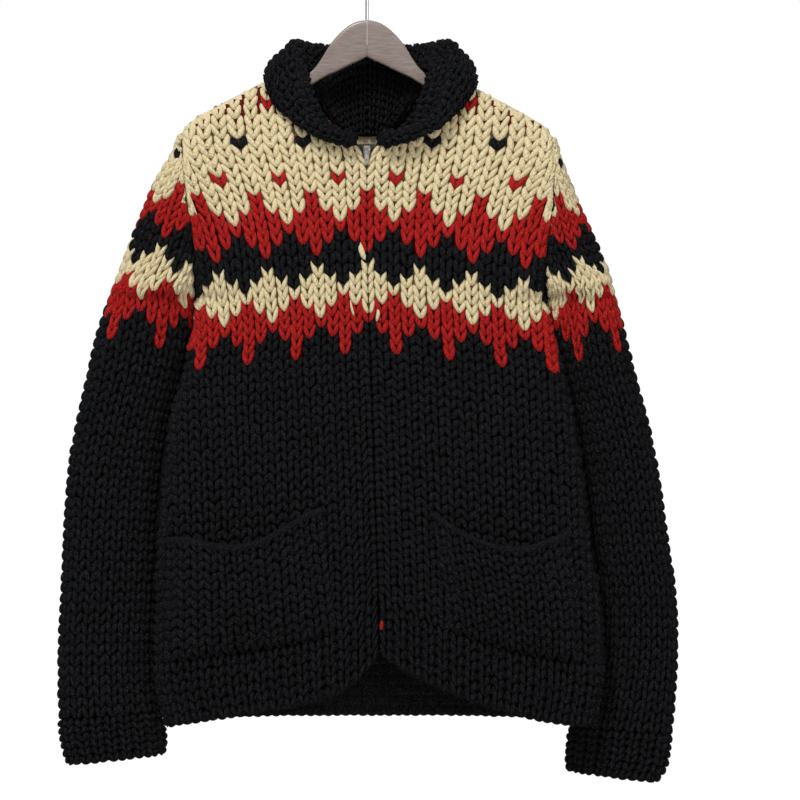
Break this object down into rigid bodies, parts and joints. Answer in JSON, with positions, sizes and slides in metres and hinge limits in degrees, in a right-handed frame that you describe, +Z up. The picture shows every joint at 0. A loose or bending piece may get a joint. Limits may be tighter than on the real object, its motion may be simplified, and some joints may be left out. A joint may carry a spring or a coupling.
{
  "type": "hand-knit zip cardigan on a wooden hanger",
  "caption": "Chunky hand-knit zip cardigan with folded shawl collar, slanted pockets, ribbed cuffs and hem, worn by a contoured wooden hanger with a wire hook.",
  "frame": {"origin": "inner top of the hanger's hook, where a rail bears", "axes": "+Z up, -Y towards the cardigan's front, +X to the right as the front is seen (the wearer's left)"},
  "size_m": [0.669, 0.1299, 0.9081],
  "materials": {
    "body_wool": "thick stockinette wool, black with cream and red bands on the yoke and sleeve heads",
    "rib_wool": "thick black wool rib",
    "zip_tape": "woven black tape",
    "zip_metal": "dark antique metal",
    "label": "plain woven cream label",
    "hanger_wood": "satin stained brown wood",
    "hook_metal": "polished plated wire"
  },
  "bodies": {
    "cardigan": {"back": "body_wool", "front_left": "body_wool", "front_right": "body_wool", "sleeve_left": "body_wool", "sleeve_right": "body_wool", "hem_back": "rib_wool", "hem_front_left": "rib_wool", "hem_front_right": "rib_wool", "cuff_left": "rib_wool", "cuff_right": "rib_wool", "collar": "rib_wool", "pocket_left": "rib_wool", "pocket_right": "rib_wool", "zip_tape_left": "zip_tape", "zip_tape_right": "zip_tape", "zip_chain": "zip_metal", "zip_slider": "zip_metal", "neck_label": "label", "hanger_arm_left": "hanger_wood", "hanger_arm_right": "hanger_wood", "hanger_hook": "hook_metal"},
    "pull_tab": {"zip_pull_tab": "zip_metal"}
  },
  "joints": [
    {"name": "pull_tab_swing", "type": "hinge", "parent": "cardigan", "child": "pull_tab", "pos_m": [0, -0.04645, -0.22], "axis": [-1, 0, 0], "range_deg": [0, 150]}
  ]
}
